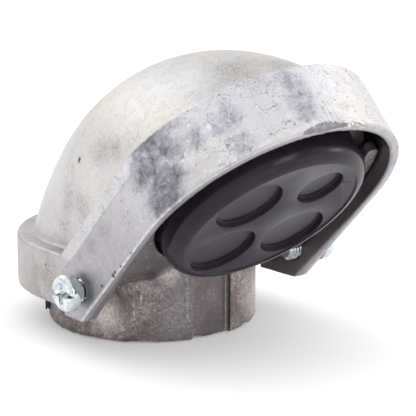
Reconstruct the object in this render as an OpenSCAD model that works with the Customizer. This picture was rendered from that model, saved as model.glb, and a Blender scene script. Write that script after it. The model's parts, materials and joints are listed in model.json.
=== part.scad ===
// Service entrance weatherhead: a die-cast hood over a slip-on body, with a
// black insulator in its slanted mouth.
// Millimetres, +Z up. The origin is the centre of the hub's bottom face, on the
// bore's axis. The mouth faces -Y and down.

/* [Hub and bore] */
// Outside diameter of the hub
hub_d = 56; // [52:0.5:58]
// Height of the hub below the flange
hub_h = 17.3; // [15:0.1:20]
// Outside diameter of the conduit that enters the bore
conduit_d = 42.16; // [40:0.01:44]
// Clearance between the conduit and the bore, on the radius
conduit_clearance = 0.37; // [0.2:0.01:0.45]
// Width of the lip that stops the conduit
stop_w = 2.8; // [1.5:0.1:4]
// Thickness of the lip that stops the conduit
stop_t = 2.6; // [1.5:0.1:3.5]
// Depth of the groove down the front of the hub
groove_depth = 1.4; // [0.8:0.1:2]
// Angle that the groove takes up
groove_angle = 25; // [15:1:35]
// Width of the parting ridges on the hub's sides
ridge_w = 1.2; // [0.8:0.1:2]
// Height of the parting ridges
ridge_h = 0.6; // [0.3:0.1:1]

/* [Body flange and face] */
// Gap between the flange and the inside of the skirt
flange_gap = 0.5; // [0.3:0.1:1]
// Thickness of the flange that carries the hood
flange_t = 4.1; // [3:0.1:5]
// Distance of the slanted face behind the hood's rim
face_inset = 4.5; // [3.5:0.1:5.5]
// Thickness of the slanted face
face_t = 3; // [2.5:0.1:3.5]
// Distance of the centres of the horns' round tips up the slope
horn_up = 51.6; // [49:0.1:54]
// Radius of the round slot that holds the insulator
slot_r = 29.4; // [28.4:0.1:29.8]
// Distance of the slot's centre up the slope
slot_up = 40.9; // [40:0.1:41.5]
// Gap between the body and the ears' insides
ear_gap = 0.5; // [0.3:0.1:1]
// Length of the lug over each cover screw, front to back
lug_l = 9.4; // [8:0.1:10]
// Height of the lugs above the flange's top
lug_rise = 2.6; // [1:0.1:3]
// Length of the lugs past the cover screws' tips
lug_end = 2; // [1:0.1:4]

/* [Hood skirt] */
// Outside radius of the skirt
skirt_r = 36.2; // [36:0.1:37]
// Height of the skirt's bottom edge
skirt_z = 10.3; // [8:0.1:12]
// Thickness of the hood's walls
wall = 2.7; // [2.2:0.1:3]

/* [Hood mouth] */
// Tilt of the rim from the horizontal
mouth_tilt = 45; // [43:1:47]
// Distance of the rim's lowest point in front of the bore's axis
mouth_y = 21.3; // [20:0.1:23]
// Height of the rim's lowest point
mouth_z = 9.4; // [9:0.1:10.2]
// Height of the ears' bottom edges
ear_z = 9; // [8:0.1:9.4]
// Height of the ears' pads above the skirt's sides
pad_h = 1; // [0.6:0.1:1.3]
// Length of the ears from their tips to the arch, up the slope
ear_l = 38.2; // [36:0.1:40]
// Thickness of the ears at the rim's lowest point
ear_t = 4.7; // [3.5:0.1:5]
// Distance up the slope over which the ears thin down to the wall's thickness
taper_l = 28; // [20:0.5:36]
// Distance of the ears' thick parts' back ends in front of the bore's axis
ear_back = 7; // [4:0.5:12]
// Depth of the raised ear pads behind the rim
pad_depth = 13.8; // [12:0.1:15]
// Depth of the whole collar behind the rim
collar_depth = 18.2; // [17:0.1:19]
// Distance of the pads' upright back edges in front of the bore's axis
pad_back = 13; // [12:0.1:14]

/* [Hood dome] */
// Half width of the dome at its outside
dome_x = 31.6; // [30:0.1:32.5]
// Length of the dome's straight sides at the middle of its sweep
dome_side_mid = -1.2; // [-3:0.1:3]
// Rise of the dome's arch at the middle of its sweep
dome_rise_mid = 27.6; // [26:0.1:30]
// Length of the dome's straight sides at the collar
dome_side_end = 33.8; // [32:0.1:35]
// Rise of the dome's arch at the collar
dome_rise_end = 34; // [32:0.1:35]
// Depth of the ribs inside the arch that hold the insulator down
rib_depth = 4.5; // [3.5:0.1:5]
// Thickness of those ribs
rib_t = 2.4; // [2:0.1:3]
// Angle between neighbouring ribs
rib_angle = 50; // [40:1:60]

/* [Insulator] */
// Radius of the insulator in its slot
dish_r = 27.4; // [27:0.1:28]
// Clearance between the insulator and the slot's lower end
slot_clearance = 0.1; // [0.05:0.05:0.4]
// Distance that the insulator's front stands out of the hood's rim
face_proud = 2.4; // [1:0.1:4]
// Radius of the flat face inside the insulator's rounded edge
face_r = 23.5; // [23:0.1:24.5]
// Depth of the flat face below the rounded edge
face_step = 0.4; // [0.2:0.1:0.6]
// Wall thickness of the insulator
dish_wall = 3.2; // [2.8:0.1:3.6]
// Width of the flange behind the slot's edge
dish_lip = 3.2; // [2.8:0.1:3.4]
// Thickness of that flange
dish_lip_t = 2; // [1.5:0.1:2.5]
// Clearance round that flange in the body's pocket
lip_clearance = 0.6; // [0.4:0.1:0.8]
// Radius of the three large knockouts
knockout_r = 8.9; // [8.5:0.1:9.3]
// Radius of the small knockout
knockout_small_r = 6.3; // [5:0.1:7.5]
// Distance between the centres of neighbouring knockouts
knockout_pitch = 20.6; // [20.2:0.1:21]
// Turn of the knockouts' pattern
knockout_turn = 9; // [0:1:15]
// Depth of the knockouts' recesses
knockout_depth = 1.1; // [0.8:0.1:1.5]
// Width of the recesses' sloping walls
knockout_slope = 1; // [0.5:0.1:1.5]

/* [Cover screws] */
// Outside diameter of the thread
screw_d = 6; // [5.5:0.1:6]
// Length under the head
screw_l = 11.1; // [10.5:0.1:12]
// Diameter of the head
screw_head_d = 9.4; // [9:0.1:9.8]
// Height of the head
screw_head_h = 3.4; // [3:0.1:3.6]
// Radius of the head's front edge
screw_edge_r = 1.3; // [0.8:0.1:1.6]
// Width of the head's slot
screw_slot_w = 1.2; // [1:0.1:1.6]
// Depth of the head's slot
screw_slot_depth = 1.1; // [0.8:0.1:1.5]
// Length of the arms of the head's cross
screw_cross_l = 5.2; // [4:0.1:6]
// Depth of the head's cross
screw_cross_depth = 2.2; // [1.5:0.1:2.5]
// Distance of the screws' axis in front of the bore's axis
screw_y = 20; // [19.5:0.1:20.5]
// Height of the screws' axis
screw_z = 17.1; // [16.7:0.1:17.3]
// Distance that the left screw is backed out
left_out = 1.9; // [0.5:0.1:4]
// Distance that the right screw is backed out
right_out = 3.7; // [0.5:0.1:4]

/* [Set screws] */
// Diameter of the set screws
set_d = 5.8; // [5:0.1:6]
// Distance that the set screws stand out of the hub
set_out = 1; // [0.5:0.1:2]
// Width of the socket across its corners
set_socket_d = 3.2; // [2.6:0.1:3.8]
// Depth of the socket
set_socket_depth = 3; // [2:0.1:4]
// Height of the set screws' axis
set_z = 4.6; // [4.2:0.1:6]
// Angle between the front of the hub and each set screw
set_angle = 122; // [115:1:135]

/* [Hidden] */
$fn = 96;

far = 200;                      // longer than any cut needs
eps = 0.02;                     // overlap of solids that are joined
thread_gap = 0.05;              // radial clearance of a screw in its thread
seat_gap = 0.4;                 // radial clearance round a cover screw in its notch
rib_gap = 0.2;                  // clearance between the ribs and the insulator
tip_gap = 0.15;                 // distance of the set screws' tips outside the bore
horn_over = 0.1;                // distance that the horns' round tips run past their sides

hub_r = hub_d / 2;
bore_r = conduit_d / 2 + conduit_clearance;
flange_top = hub_h + flange_t;
shelf_z = flange_top + wall;    // top of the shelf behind the dome
flange_r = skirt_r - wall - flange_gap;
ear_x = skirt_r + pad_h;
mouth_in = ear_x - wall;        // half width between the ears
face_back = -face_inset - face_t;
dish_up = slot_up - slot_r + slot_clearance + dish_r;
dish_back = face_back - dish_lip_t;
lug_in = ear_x - screw_l - lug_end;
set_tip = bore_r + tip_gap;
set_l = hub_r + set_out - set_tip;
groove_r = hub_r - groove_depth;

// Distance in front of the bore's axis of the point at height z on the plane
// that lies d in front of the rim's plane
function front_at(z, d) =
    mouth_y + (d + (z - mouth_z) * cos(mouth_tilt)) / sin(mouth_tilt);

// Value at t, from 0 to 1, of the smooth curve that starts at a, ends at c and
// is drawn towards b
function blend(a, b, c, t) = (1 - t) * (1 - t) * a + 2 * t * (1 - t) * b + t * t * c;

// The dome is swept by an arch that turns about this line across the hood,
// where the shelf meets the back of the collar
hinge_y = front_at(shelf_z, -collar_depth);

function dome_side(t) = blend(hinge_y, dome_side_mid, dome_side_end, t);
function dome_rise(t, inset) = blend(dome_x, dome_rise_mid, dome_rise_end, t) - inset;

// Puts its children in the mouth's frame: x across, y up the slope from the
// ears' tips, z out of the mouth
module in_mouth() {
    translate([0, -mouth_y, mouth_z]) rotate([180 - mouth_tilt, 0, 0]) children();
}

// Everything behind the plane that lies d in front of the rim
module behind(d) {
    in_mouth() translate([-far, -far, d - 2 * far]) cube(2 * far);
}

// Everything above height z
module above(z) {
    translate([-far, -far, z]) cube(2 * far);
}

// Everything in front of the distance y from the bore's axis
module in_front(y) {
    translate([-far, -y - 2 * far, -far]) cube(2 * far);
}

// Arch on two legs that run down without end
module arch(half_width, up) {
    translate([0, up]) circle(r = half_width);
    translate([-half_width, up - far]) square([2 * half_width, far]);
}

// Slab of that outline in the mouth's frame, between two planes
module arch_slab(half_width, up, from, to) {
    in_mouth() translate([0, 0, from]) linear_extrude(to - from) arch(half_width, up);
}

// Outline between the ears, which narrows towards their tips, and inside the
// arch, with a gap all round
module mouth_outline(gap) {
    slope = (ear_t - wall) / taper_l;
    low = -far / 4;
    low_x = mouth_in - slope * (taper_l - low) - gap;
    side_x = mouth_in - gap;
    intersection() {
        arch(side_x, ear_l);
        polygon([[-low_x, low], [low_x, low], [side_x, taper_l], [side_x, far],
                 [-side_x, far], [-side_x, taper_l]]);
    }
}

// That outline run through the whole part in the direction of the mouth
module mouth_space(gap) {
    in_mouth() translate([0, 0, -far]) linear_extrude(2 * far) mouth_outline(gap);
}

// Plan that is round behind and runs straight forwards to the distance front
module round_back(r, front) {
    circle(r = r);
    translate([-r, -front]) square([2 * r, front]);
}

// Solid swept by the dome's arch from the shelf to the collar. It runs on by
// reach, straight down below the shelf and straight out into the collar.
module dome(inset, reach) {
    rows = 16;
    cols = 24;
    w = dome_x - inset;
    function arch_r(t, j) = dome_side(t) + dome_rise(t, inset) * sin(180 * j / cols);
    function on_arch(turn, t, j, y, z) =
        [-w * cos(180 * j / cols),
         -hinge_y - arch_r(t, j) * cos(turn) + y,
         shelf_z + arch_r(t, j) * sin(turn) + z];
    out_y = -reach * sin(mouth_tilt);
    out_z = -reach * cos(mouth_tilt);
    points = [
        for (j = [0 : cols]) on_arch(180, 0, j, 0, -reach),
        for (i = [0 : rows], j = [0 : cols])
            on_arch(180 - (180 - mouth_tilt) * i / rows, i / rows, j, 0, 0),
        for (j = [0 : cols]) on_arch(mouth_tilt, 1, j, out_y, out_z),
        for (x = [-w, w]) [x, -hinge_y, shelf_z - reach],
        for (x = [-w, w]) [x, -hinge_y + out_y, shelf_z + out_z]
    ];
    last = rows + 2;
    low = (last + 1) * (cols + 1);
    high = low + 2;
    function at(i, j) = i * (cols + 1) + j;
    faces = [
        for (i = [0 : last - 1], j = [0 : cols - 1])
            [at(i, j), at(i, j + 1), at(i + 1, j + 1), at(i + 1, j)],
        [low, for (i = [0 : last]) at(i, 0), high],
        [high + 1, for (i = [last : -1 : 0]) at(i, cols), low + 1],
        [low, low + 1, for (j = [cols : -1 : 0]) at(0, j)],
        [high + 1, high, for (j = [0 : cols]) at(last, j)],
        [low, high, high + 1, low + 1]
    ];
    polyhedron(points, faces);
}

// Arch through the collar, as wide as the ears in front and as the skirt behind.
// inset is 0 for the outside and the wall's thickness for the inside.
module collar(inset, front) {
    difference() {
        arch_slab(ear_x - inset, ear_l, inset - collar_depth, front);
        for (side = [-1, 1])
            difference() {
                translate([side * (far / 2 + skirt_r - inset), 0, 0])
                    cube([far, 2 * far, 2 * far], center = true);
                intersection() {
                    in_front(pad_back + inset);
                    in_mouth() translate([-far, -far, inset - pad_depth]) cube(2 * far);
                }
            }
    }
}

module hood_outside() {
    intersection() {
        translate([0, 0, skirt_z]) linear_extrude(shelf_z - skirt_z) round_back(skirt_r, far);
        behind(0);
    }
    intersection() {
        collar(0, 0);
        above(ear_z);
        in_front(0);
        union() {
            above(skirt_z);
            in_front(pad_back);
        }
    }
    // The ears' thick parts reach back along the skirt
    intersection() {
        translate([0, 0, ear_z]) linear_extrude(skirt_z - ear_z + 1)
            round_back(skirt_r - wall / 2, far);
        in_front(ear_back);
        behind(-wall);
    }
    dome(0, 1);
}

module hood_inside() {
    translate([0, 0, -far]) linear_extrude(far + flange_top)
        round_back(skirt_r - wall, ear_back);
    intersection() {
        mouth_space(0);
        union() {
            difference() {
                in_front(ear_back - 1);
                above(flange_top);
            }
            intersection() {
                collar(wall, far);
                in_front(0);
            }
        }
    }
    dome(wall, wall + 1);
}

// Ribs inside the arch, which stop the insulator from moving back
module hood_ribs() {
    bottom = wall / 2 - collar_depth;
    for (turn = [-rib_angle, 0, rib_angle])
        in_mouth() translate([0, ear_l, bottom]) rotate(turn)
            translate([-rib_t / 2, mouth_in - rib_depth])
                cube([rib_t, rib_depth + wall / 2, dish_back - rib_gap - bottom]);
}

// Cylinders on the cover screws' axis, from one distance off the middle to another
module on_screw_axis(r, from, to) {
    for (side = [-1, 1])
        translate([side * (from + to) / 2, -screw_y, screw_z]) rotate([0, 90, 0])
            cylinder(r = r, h = to - from, center = true);
}

module hood() {
    color("silver") difference() {
        union() {
            difference() {
                hood_outside();
                hood_inside();
            }
            hood_ribs();
        }
        on_screw_axis(screw_d / 2 + thread_gap, ear_x - ear_t - 1, ear_x + 1);
    }
}

// Places its children on the hub's wall, x outwards, at both set screws or one
module at_set_screw(side) {
    translate([0, 0, set_z]) rotate([0, 0, -90 + side * set_angle]) children();
}

module hub() {
    groove_w = 2 * groove_r * tan(groove_angle / 2);
    difference() {
        cylinder(r = hub_r, h = flange_top);
        intersection() {
            translate([-groove_w / 2, -hub_r - 1, -1]) cube([groove_w, hub_r, far]);
            difference() {
                translate([0, 0, -1]) cylinder(r = hub_r + 2, h = far);
                translate([0, 0, -2]) cylinder(r = groove_r, h = far);
            }
        }
    }
    // The hub's front runs up to the slanted face
    intersection() {
        cylinder(r = groove_r, h = far);
        in_front(bore_r - stop_w);
        behind(-face_inset);
        difference() {
            above(hub_h);
            behind(face_back);
        }
    }
    for (side = [-1, 1])
        translate([side * hub_r, 0, hub_h / 2])
            cube([2 * ridge_h, ridge_w, hub_h], center = true);
}

// Outline of the slanted face, with a horn on each side of the round slot
module face_outline() {
    inner = sqrt(pow(slot_r, 2) - pow(horn_up - slot_up, 2));
    outer = sqrt(pow(mouth_in - ear_gap, 2) - pow(horn_up - ear_l, 2));
    difference() {
        intersection() {
            mouth_outline(ear_gap);
            union() {
                translate([-far, horn_up - 2 * far]) square([2 * far, 2 * far]);
                for (side = [-1, 1])
                    translate([side * (inner + outer) / 2, horn_up])
                        circle(d = outer - inner + 2 * horn_over);
            }
        }
        translate([0, slot_up]) circle(r = slot_r);
    }
}

module slanted_face() {
    intersection() {
        in_mouth() translate([0, 0, face_back]) linear_extrude(face_t) face_outline();
        above(hub_h);
    }
}

// Round flange under the hood's shelf, narrowed between the ears
module flange() {
    intersection() {
        translate([0, 0, hub_h]) cylinder(r = flange_r, h = flange_t);
        behind(-face_inset);
        union() {
            mouth_space(ear_gap);
            translate([-far, ear_gap - ear_back, 0]) cube(2 * far);
        }
    }
}

// Lugs over the cover screws' tips, which keep the hood down
module lugs() {
    intersection() {
        for (side = [-1, 1])
            translate([side * (lug_in + far / 2), -screw_y, hub_h + (flange_t + lug_rise) / 2])
                cube([far, lug_l, flange_t + lug_rise], center = true);
        mouth_space(ear_gap);
        behind(-face_inset);
    }
}

module body() {
    color("#8f8a84") difference() {
        union() {
            hub();
            flange();
            slanted_face();
            lugs();
        }
        translate([0, 0, -1]) cylinder(r = bore_r, h = flange_top - stop_t + 1);
        cylinder(r = bore_r - stop_w, h = far);
        in_mouth() {
            translate([0, slot_up, face_back]) cylinder(r = slot_r, h = far);
            translate([0, dish_up, dish_back - 1])
                cylinder(r = dish_r + dish_lip + lip_clearance, h = dish_lip_t + 1);
        }
        on_screw_axis(screw_d / 2 + seat_gap, ear_x - screw_l - seat_gap, far);
        for (side = [-1, 1])
            at_set_screw(side) rotate([0, 90, 0])
                cylinder(r = set_d / 2 + thread_gap, h = hub_r + 1);
    }
}

module insulator() {
    edge_r = dish_r - face_r;
    edge_steps = 8;
    face = face_proud - face_step;
    off = knockout_pitch / 2;
    spots = [[-off, off, knockout_r], [off, off, knockout_small_r],
             [off, -off, knockout_r], [-off, -off, knockout_r]];
    color("#26262a") in_mouth() translate([0, dish_up, 0]) difference() {
        rotate_extrude() polygon([
            [0, face],
            [face_r, face],
            for (i = [0 : edge_steps])
                [face_r + edge_r * sin(90 * i / edge_steps),
                 face_proud - edge_r * (1 - cos(90 * i / edge_steps))],
            [dish_r, face_back],
            [dish_r + dish_lip, face_back],
            [dish_r + dish_lip, dish_back],
            [0, dish_back]
        ]);
        translate([0, 0, dish_back - 1])
            cylinder(r = dish_r - dish_wall, h = face - dish_wall - dish_back + 1);
        rotate(knockout_turn) for (spot = spots)
            translate([spot[0], spot[1], face - knockout_depth]) {
                cylinder(r1 = spot[2] - knockout_slope, r2 = spot[2], h = knockout_depth);
                translate([0, 0, knockout_depth]) cylinder(r = spot[2], h = 1);
            }
    }
}

// Screw along +z from the underside of its head, with its shank below
module cover_screw() {
    edge_steps = 6;
    difference() {
        union() {
            rotate_extrude() polygon([
                [0, 0], [screw_head_d / 2, 0],
                for (i = [0 : edge_steps])
                    [screw_head_d / 2 - screw_edge_r * (1 - cos(90 * i / edge_steps)),
                     screw_head_h - screw_edge_r * (1 - sin(90 * i / edge_steps))],
                [0, screw_head_h]
            ]);
            translate([0, 0, -screw_l]) cylinder(d = screw_d, h = screw_l + eps);
        }
        translate([0, 0, screw_head_h]) {
            cube([screw_slot_w, 2 * screw_head_d, 2 * screw_slot_depth], center = true);
            cube([screw_cross_l, screw_slot_w, 2 * screw_cross_depth], center = true);
            cube([screw_slot_w, screw_cross_l, 2 * screw_cross_depth], center = true);
        }
    }
}

module cover_screw_at(side, out) {
    color("lightsteelblue")
        translate([side * (ear_x + out), -screw_y, screw_z]) rotate([0, side * 90, 0])
            cover_screw();
}

module cover_screw_left() {
    cover_screw_at(-1, left_out);
}

module cover_screw_right() {
    cover_screw_at(1, right_out);
}

module set_screw(side) {
    color("dimgray") at_set_screw(side) translate([set_tip, 0, 0]) rotate([0, 90, 0])
        difference() {
            cylinder(d = set_d, h = set_l);
            translate([0, 0, set_l - set_socket_depth])
                cylinder(d = set_socket_d, h = set_socket_depth + 1, $fn = 6);
        }
}

module set_screw_left() {
    set_screw(-1);
}

module set_screw_right() {
    set_screw(1);
}

hood();
body();
insulator();
cover_screw_left();
cover_screw_right();
set_screw_left();
set_screw_right();
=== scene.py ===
"""Service entrance weatherhead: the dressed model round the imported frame.

The solids are modelled in millimetres, in the frame's own axes (+Z up the conduit,
-Y towards the mouth), and brought to metres when each piece is finished.
"""
import json
import math

import bpy
import numpy as np
from mathutils import Matrix, Vector


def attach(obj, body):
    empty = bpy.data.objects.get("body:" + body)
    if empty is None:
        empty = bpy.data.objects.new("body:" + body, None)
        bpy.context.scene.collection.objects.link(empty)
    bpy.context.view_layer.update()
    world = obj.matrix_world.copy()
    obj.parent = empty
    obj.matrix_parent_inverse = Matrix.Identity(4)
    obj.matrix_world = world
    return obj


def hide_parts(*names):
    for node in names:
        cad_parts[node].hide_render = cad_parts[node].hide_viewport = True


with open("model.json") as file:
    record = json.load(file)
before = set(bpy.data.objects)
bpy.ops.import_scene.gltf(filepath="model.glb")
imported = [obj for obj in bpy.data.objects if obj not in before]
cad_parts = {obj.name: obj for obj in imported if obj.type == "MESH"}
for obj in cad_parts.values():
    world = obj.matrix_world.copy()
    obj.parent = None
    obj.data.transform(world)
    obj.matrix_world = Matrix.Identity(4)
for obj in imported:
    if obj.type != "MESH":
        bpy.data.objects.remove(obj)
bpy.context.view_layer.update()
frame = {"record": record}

MM = 0.001

# ---------------------------------------------------------------- sizes, in mm
# Sizes in OUT, UP, FRONT and BACK are in the mouth's own axes, which are further down

# Far enough to run right through
FAR = 90

# Hub, with the conduit's bore, the stop above it and the flat groove down its front
HUB_R = 28
HUB_INNER_R = 26.6
BORE_R = 21.45
STOP_R = 18.65
STOP_THICK = 2.6
GROOVE_LEFT = -6.4
GROOVE_RIGHT = 5.3

# Flange, and the slanted face with the insulator's slot and a horn at each side
FLANGE_R = 33
FLANGE_LOW = 17.3
FLANGE_TOP = 21.4
FACE_FRONT = -4.5
FACE_BACK = -7.5
FACE_UP = 51.6
SLOT_R = 29.4
SLOT_UP = 40.9
RIM_ROOM_R = 31.2
RIM_ROOM = 3
HORN_R = 1.93
HORN_X = 29.3
HORN_UP = 51.55
HOOD_GAP = 0.5

# Lugs over the cover screws' tips, notched for them
LUG_X = 24.1
LUG_HALF = 4.7
LUG_TOP = 24
NOTCH_R = 3.4
NOTCH_X = 25.7

# Hood: skirt, collar with a raised pad round its front, ears, dome and inner ribs
WALL = 2.7
SKIRT_R = 36.2
SKIRT_LOW = 10.3
SHELF = 24.1
SHELF_ROUND = 0.9
MOUTH_Y = 21.3
MOUTH_Z = 9.4
ARCH_UP = 38.2
PAD_DEPTH = 13.8
PAD_BACK = 13
COLLAR_DEPTH = 18.2
EAR_X = 37.2
EAR_GAP_X = 32.5
EAR_LOW = 9
EAR_BACK = 7
TAPER = 2 / 28
DOME_X = 31.6
DOME_SIDE = (-1.2, 33.8)
DOME_RISE = (27.6, 34)
RIB_HALF = 1.2
RIB_REACH = (30, 35.85)
RIB_BACK = -16.85
RIB_FRONT = -9.7

# Insulator: dish with knockouts, and the rim behind it
DISH_UP = 39
DISH_R = 27.4
DISH_OUT = 2.4
DISH_ROUND = 3.9
DISH_FACE_SUNK = 0.4
RIM_R = 30.6
RIM_THICK = 2
RIM_WALL = 6.4
HOLLOW_DEEP = 8.3
KNOCKOUT_OFF = 10.3
KNOCKOUT_R = 8.9
SMALL_KNOCKOUT_R = 6.3
KNOCKOUT_DRAFT = (-0.45, 0.35)
KNOCKOUT_TURN = math.radians(9)

# Cover screws, with how far each stands off its ear and how its recess is turned
SCREW_Y = -20
SCREW_Z = 17.1
LEFT_OUT = 1.9
RIGHT_OUT = 3.7
LEFT_TURN = math.radians(3.5)
RIGHT_TURN = math.radians(50)
HEAD_R = 4.7
HEAD_H = 3.4
HEAD_ROUND = 1.3
SCREW_R = 2.97
SCREW_L = 11.1
PITCH = 1.06
SLOT_HALF = 0.68
SLOT_DEPTH = 1.1
CROSS_LONG = 3.1
CROSS_HALF = 0.98
CROSS_DEPTH = 2.4
THREAD_GAP = 0.08

# Set screws
SET_Z = 4.6
SET_ANGLE = math.radians(122)
SET_R = 2.87
SET_TIP = 21.6
SET_L = 7.4
SET_PITCH = 0.9
SOCKET_R = 1.6
SOCKET_DEPTH = 3

# The dome turns about the line where the shelf meets the back of the collar
HINGE_Y = MOUTH_Y + (-COLLAR_DEPTH + (SHELF - MOUTH_Z) * math.sqrt(0.5)) / math.sqrt(0.5)

# Small holes in the hood's skin: x, y, z, radius and depth
HOOD_PITS = [(-30.6, -11.3, 48.1, 0.65, 0.5), (-37.2, -30.5, 20.6, 0.4, 0.3),
             (-37.2, -35.3, 24.2, 0.55, 0.4), (-37.2, -36.1, 25.3, 0.4, 0.3),
             (-37.2, -38.5, 27.2, 0.35, 0.25), (-37.2, -42.9, 31.4, 0.3, 0.2),
             (-37.2, -28.2, 15.3, 0.4, 0.3), (28.8, -64.5, 52.6, 0.45, 0.4),
             (-36.2, -14.5, 22.6, 0.3, 0.2), (-36.2, -3.4, 20.1, 0.3, 0.2),
             (31.4, -18, 40, 0.6, 0.4), (12, 25.6, 30, 0.6, 0.4)]
# Chips in the hub's lower edge: direction and half width in degrees, and height
HUB_CHIPS = [(259, 4, 0.45), (297, 5, 0.5), (232, 6, 0.3), (95, 7, 0.4)]
# The runner was broken off the collar's front edge: middle, half length and depth
GATE_X, GATE_HALF, GATE_DEPTH = -3.4, 6.8, 1.6

# The mouth's own axes: x across, y up the slope, z out of the mouth
MOUTH = (Matrix.Translation((0, -MOUTH_Y, MOUTH_Z))
         @ Matrix.Rotation(math.radians(135), 4, "X"))
OUT = (0, -math.sqrt(0.5), -math.sqrt(0.5))
UP = (0, -math.sqrt(0.5), math.sqrt(0.5))


def mouth(x, up, out):
    """A point given in the mouth's axes."""
    return MOUTH @ Vector((x, up, out))


# ------------------------------------------------------------- modelling tools
def start(primitive, **place):
    """Adds one primitive with nothing else selected, its place and turn in its mesh."""
    if bpy.context.object and bpy.context.object.mode != "OBJECT":
        bpy.ops.object.mode_set(mode="OBJECT")
    bpy.ops.object.select_all(action="DESELECT")
    primitive(**place)
    obj = bpy.context.object
    bpy.ops.object.transform_apply(location=True, rotation=True, scale=True)
    return obj


def choose(obj, faces=None, edges=None):
    """Opens obj in edit mode with the faces or edges selected that pass the test."""
    if obj.mode != "OBJECT":
        bpy.ops.object.mode_set(mode="OBJECT")
    bpy.ops.object.select_all(action="DESELECT")
    obj.select_set(True)
    bpy.context.view_layer.objects.active = obj
    bpy.context.tool_settings.mesh_select_mode = (False, edges is not None, edges is None)
    mesh = obj.data
    for part in (mesh.vertices, mesh.edges, mesh.polygons):
        part.foreach_set("select", [False] * len(part))
    if faces:
        for face in mesh.polygons:
            face.select = faces(face.center, face.normal)
    if edges:
        for edge in mesh.edges:
            a, b = (mesh.vertices[i].co for i in edge.vertices)
            edge.select = edges(a, b)
            if edge.select:
                mesh.vertices[edge.vertices[0]].select = True
                mesh.vertices[edge.vertices[1]].select = True
    bpy.ops.object.mode_set(mode="EDIT")


def done(obj):
    """Closes edit mode."""
    bpy.ops.object.mode_set(mode="OBJECT")
    return obj


def extrude(obj, faces, move):
    """Pulls the faces that pass the test out by a vector."""
    choose(obj, faces=faces)
    bpy.ops.mesh.extrude_region_move(TRANSFORM_OT_translate={"value": move})
    return done(obj)


def bevel(obj, edges, width, segments):
    """Rounds the edges that pass the test."""
    choose(obj, edges=edges)
    bpy.ops.mesh.bevel(offset=width, segments=segments, affect="EDGES")
    return done(obj)


def cut(obj, point, normal):
    """Cuts away what lies past a plane, on the side its normal points to."""
    choose(obj, faces=lambda c, n: True)
    bpy.ops.mesh.select_all(action="SELECT")
    bpy.ops.mesh.bisect(plane_co=point, plane_no=normal, use_fill=True, clear_outer=True)
    return done(obj)


def apply(obj, kind, **settings):
    """Adds one modifier and applies it."""
    modifier = obj.modifiers.new(kind.lower(), kind)
    for key, value in settings.items():
        setattr(modifier, key, value)
    bpy.context.view_layer.objects.active = obj
    bpy.ops.object.modifier_apply(modifier=modifier.name)
    return obj


def combine(obj, how, *tools):
    """Adds, takes away or intersects other solids, which are used up."""
    for tool in tools:
        apply(obj, "BOOLEAN", operation=how, object=tool, solver="MANIFOLD")
        bpy.data.objects.remove(tool)
    return obj


def cylinder(r, low, high, sides=96, place=None):
    """Upright cylinder between two heights, put in place by a matrix."""
    obj = start(bpy.ops.mesh.primitive_cylinder_add, vertices=sides, radius=r,
                depth=high - low, location=(0, 0, (low + high) / 2))
    if place:
        obj.data.transform(place)
    return obj


def box(low, high, place=None):
    """Block between two corners."""
    size = [b - a for a, b in zip(low, high)]
    obj = start(bpy.ops.mesh.primitive_cube_add, size=1, scale=size,
                location=[(a + b) / 2 for a, b in zip(low, high)])
    if place:
        obj.data.transform(place)
    return obj


def arch_block(r, centre, leg, low, high, sides=360):
    """Block whose outline is round towards +Y and runs straight towards -Y."""
    obj = cylinder(r, low, high, sides, Matrix.Translation((0, centre, 0)))
    cut(obj, (0, centre, 0), (0, -1, 0))
    return extrude(obj, lambda c, n: n.y < -0.9, (0, -leg, 0))


def loft(loops):
    """Solid through loops of points, extruded from each loop to the next."""
    obj = start(bpy.ops.mesh.primitive_circle_add, vertices=len(loops[0]), radius=1,
                fill_type="NGON")
    mesh = obj.data
    cap = mesh.polygons[0]
    for at, point in zip(cap.vertices, loops[0]):
        mesh.vertices[at].co = point
    choose(obj, faces=lambda c, n: True)
    for loop in loops[1:]:
        bpy.ops.mesh.extrude_region_move()
        bpy.ops.object.mode_set(mode="OBJECT")
        cap = next(face for face in mesh.polygons if face.select)
        for at, point in zip(cap.vertices, loop):
            mesh.vertices[at].co = point
        bpy.ops.object.mode_set(mode="EDIT")
    choose(obj, faces=lambda c, n: True)
    bpy.ops.mesh.select_all(action="SELECT")
    bpy.ops.mesh.remove_doubles(threshold=0.0005)
    bpy.ops.mesh.normals_make_consistent(inside=False)
    return done(obj)


def solid_casting(obj, voxel, smooth, triangles):
    """Turns a sharp solid into a casting, with small rounded edges and fillets."""
    apply(obj, "REMESH", mode="VOXEL", voxel_size=voxel, adaptivity=0)
    apply(obj, "SMOOTH", factor=0.5, iterations=smooth)
    apply(obj, "TRIANGULATE")
    kept = triangles / len(obj.data.polygons)
    if kept < 1:
        apply(obj, "DECIMATE", decimate_type="COLLAPSE", ratio=kept)
    return apply(obj, "SMOOTH", factor=0.4, iterations=1)


def move_points(obj, rule):
    """Shapes a casting's skin: rule takes all points and normals and gives the points back."""
    mesh = obj.data
    points = np.empty(len(mesh.vertices) * 3)
    normals = np.empty_like(points)
    mesh.vertices.foreach_get("co", points)
    mesh.vertex_normals.foreach_get("vector", normals)
    moved = rule(points.reshape(-1, 3), normals.reshape(-1, 3))
    mesh.vertices.foreach_set("co", moved.ravel())
    mesh.update()
    return obj


def ripple(points, size):
    """A smooth uneven value from -1 to 1 at each point, that changes over size mm."""
    a, b, c = (points * (math.tau / size)).T
    return (np.sin(a + 1.3 * np.sin(1.7 * b)) + np.sin(1.3 * b + 1.1 * np.sin(0.9 * c))
            + np.sin(1.9 * c + 1.2 * np.sin(1.3 * a))) / 3


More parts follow.
